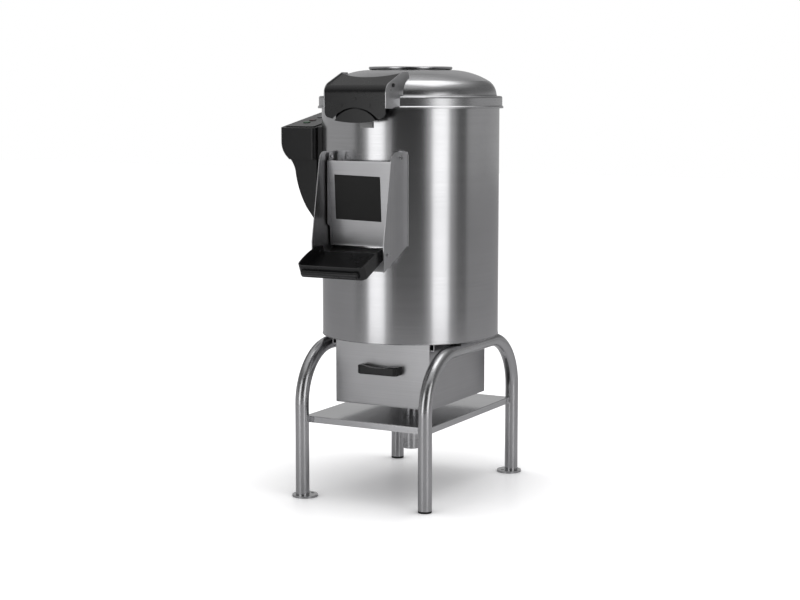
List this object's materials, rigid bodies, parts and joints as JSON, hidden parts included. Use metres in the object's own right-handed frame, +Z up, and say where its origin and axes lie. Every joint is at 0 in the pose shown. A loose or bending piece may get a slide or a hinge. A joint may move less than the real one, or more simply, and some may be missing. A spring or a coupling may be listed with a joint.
{
  "type": "electric potato peeler",
  "caption": "Floor-standing electric potato peeler: steel drum with turning abrasive plate, hinged lid, outlet flap and tray, peel filter drawer and tube stand.",
  "frame": {"origin": "on the floor, under the axis of the drum, midway between the two floor anchor holes", "axes": "+Z up, -Y towards the outlet at the front, +X to the right seen from the front"},
  "size_m": [0.522, 0.6439, 1.003],
  "materials": {
    "brushed_steel": "satin brushed",
    "lid_steel": "satin, spun",
    "drum_steel": "satin, brushed round",
    "black_plastic": "fine grained",
    "rubber": "matt",
    "label_film": "satin film",
    "panel_film": "satin film",
    "green_key": "satin",
    "red_key": "satin",
    "grey_key": "satin",
    "board": "lacquered",
    "brass": "turned",
    "cast_aluminium": "cast",
    "abrasive": "coarse grit",
    "ground_steel": "ground",
    "painted_frame": "satin paint"
  },
  "bodies": {
    "machine": {"anchor_plates": "brushed_steel", "ball_bearings": "ground_steel", "base_plate": "brushed_steel", "bearing_housing": "cast_aluminium", "body_shell": "drum_steel", "cable_gland": "black_plastic", "chute_cheeks": "brushed_steel", "chute_floor": "brushed_steel", "circuit_board": "board", "control_housing": "black_plastic", "control_panel": "panel_film", "drain_pipe": "brushed_steel", "drawer_housing": "brushed_steel", "drum_floor": "brushed_steel", "flap_pins": "brushed_steel", "latch_keeper": "brushed_steel", "leg_caps": "black_plastic", "lid_hinge_bracket": "brushed_steel", "lid_hinge_pin": "brushed_steel", "motor_body": "cast_aluminium", "motor_mount": "painted_frame", "port_collar": "brushed_steel", "rubber_pads": "rubber", "shaft_seal": "rubber", "stand_arch_left": "brushed_steel", "stand_arch_right": "brushed_steel", "stand_bolts": "brushed_steel", "stand_shelf": "brushed_steel", "tray_pivot_screws": "brushed_steel", "v_belt": "rubber", "waste_duct": "brushed_steel", "water_inlet": "brass"},
    "lid": {"lid_dome": "lid_steel", "lid_seal": "rubber", "disc_gasket": "rubber", "lid_top_disc": "lid_steel", "lid_hinge_leaf": "brushed_steel", "handle_cover": "black_plastic", "handle_cheeks": "brushed_steel", "handle_screws": "brushed_steel", "latch_pin": "brushed_steel"},
    "latch": {"latch_lever": "black_plastic"},
    "flap": {"discharge_flap": "brushed_steel", "flap_seal": "rubber", "flap_label": "label_film"},
    "tray": {"chute_tray": "black_plastic", "tray_grip_bar": "black_plastic"},
    "drawer": {"filter_drawer": "brushed_steel", "filter_screen": "brushed_steel", "drawer_handle": "black_plastic", "drawer_handle_screws": "brushed_steel"},
    "plate": {"drive_shaft": "ground_steel", "abrasive_plate": "abrasive", "plate_cap": "brushed_steel", "driven_pulley": "cast_aluminium"},
    "motor_rotor": {"motor_pulley": "cast_aluminium", "motor_shaft": "ground_steel"},
    "start_key": {"start_button": "green_key"},
    "stop_key": {"stop_button": "red_key"},
    "timer_key": {"timer_button": "grey_key"}
  },
  "joints": [
    {"name": "lid_hinge", "type": "hinge", "parent": "machine", "child": "lid", "pos_m": [0, 0.238, 0.912], "axis": [-1, 0, 0], "range_deg": [0, 80]},
    {"name": "latch_pivot", "type": "hinge", "parent": "lid", "child": "latch", "pos_m": [0, -0.244, 0.948], "axis": [-1, 0, 0], "range_deg": [0, 8], "stiffness_Nm_per_rad": 1, "springref_deg": -5.73},
    {"name": "flap_hinge", "type": "hinge", "parent": "machine", "child": "flap", "pos_m": [0, -0.224, 0.799], "axis": [-1, 0, 0], "range_deg": [0, 70]},
    {"name": "tray_pivot", "type": "hinge", "parent": "machine", "child": "tray", "pos_m": [0, -0.283, 0.586], "axis": [-1, 0, 0], "range_deg": [0, 75]},
    {"name": "drawer_slide", "type": "slide", "parent": "machine", "child": "drawer", "axis": [0, -1, 0], "range_m": [0, 0.25]},
    {"name": "plate_spin", "type": "hinge", "parent": "machine", "child": "plate", "pos_m": [0, 0, 0.6], "axis": [0, 0, 1], "continuous": true},
    {"name": "motor_spin", "type": "hinge", "parent": "machine", "child": "motor_rotor", "pos_m": [-0.14, 0, 0.42], "axis": [0, 0, 1], "continuous": true},
    {"name": "start_press", "type": "slide", "parent": "machine", "child": "start_key", "axis": [0, 0.1772, -0.9842], "range_m": [0, 0.001], "stiffness_N_per_m": 300, "springref_m": -0.001},
    {"name": "stop_press", "type": "slide", "parent": "machine", "child": "stop_key", "axis": [0, 0.1772, -0.9842], "range_m": [0, 0.001], "stiffness_N_per_m": 300, "springref_m": -0.001},
    {"name": "timer_press", "type": "slide", "parent": "machine", "child": "timer_key", "axis": [0, 0.1772, -0.9842], "range_m": [0, 0.001], "stiffness_N_per_m": 300, "springref_m": -0.001}
  ],
  "couplings": [
    {"joint": "motor_spin", "follows": "plate_spin", "ratio": 2.9772}
  ]
}
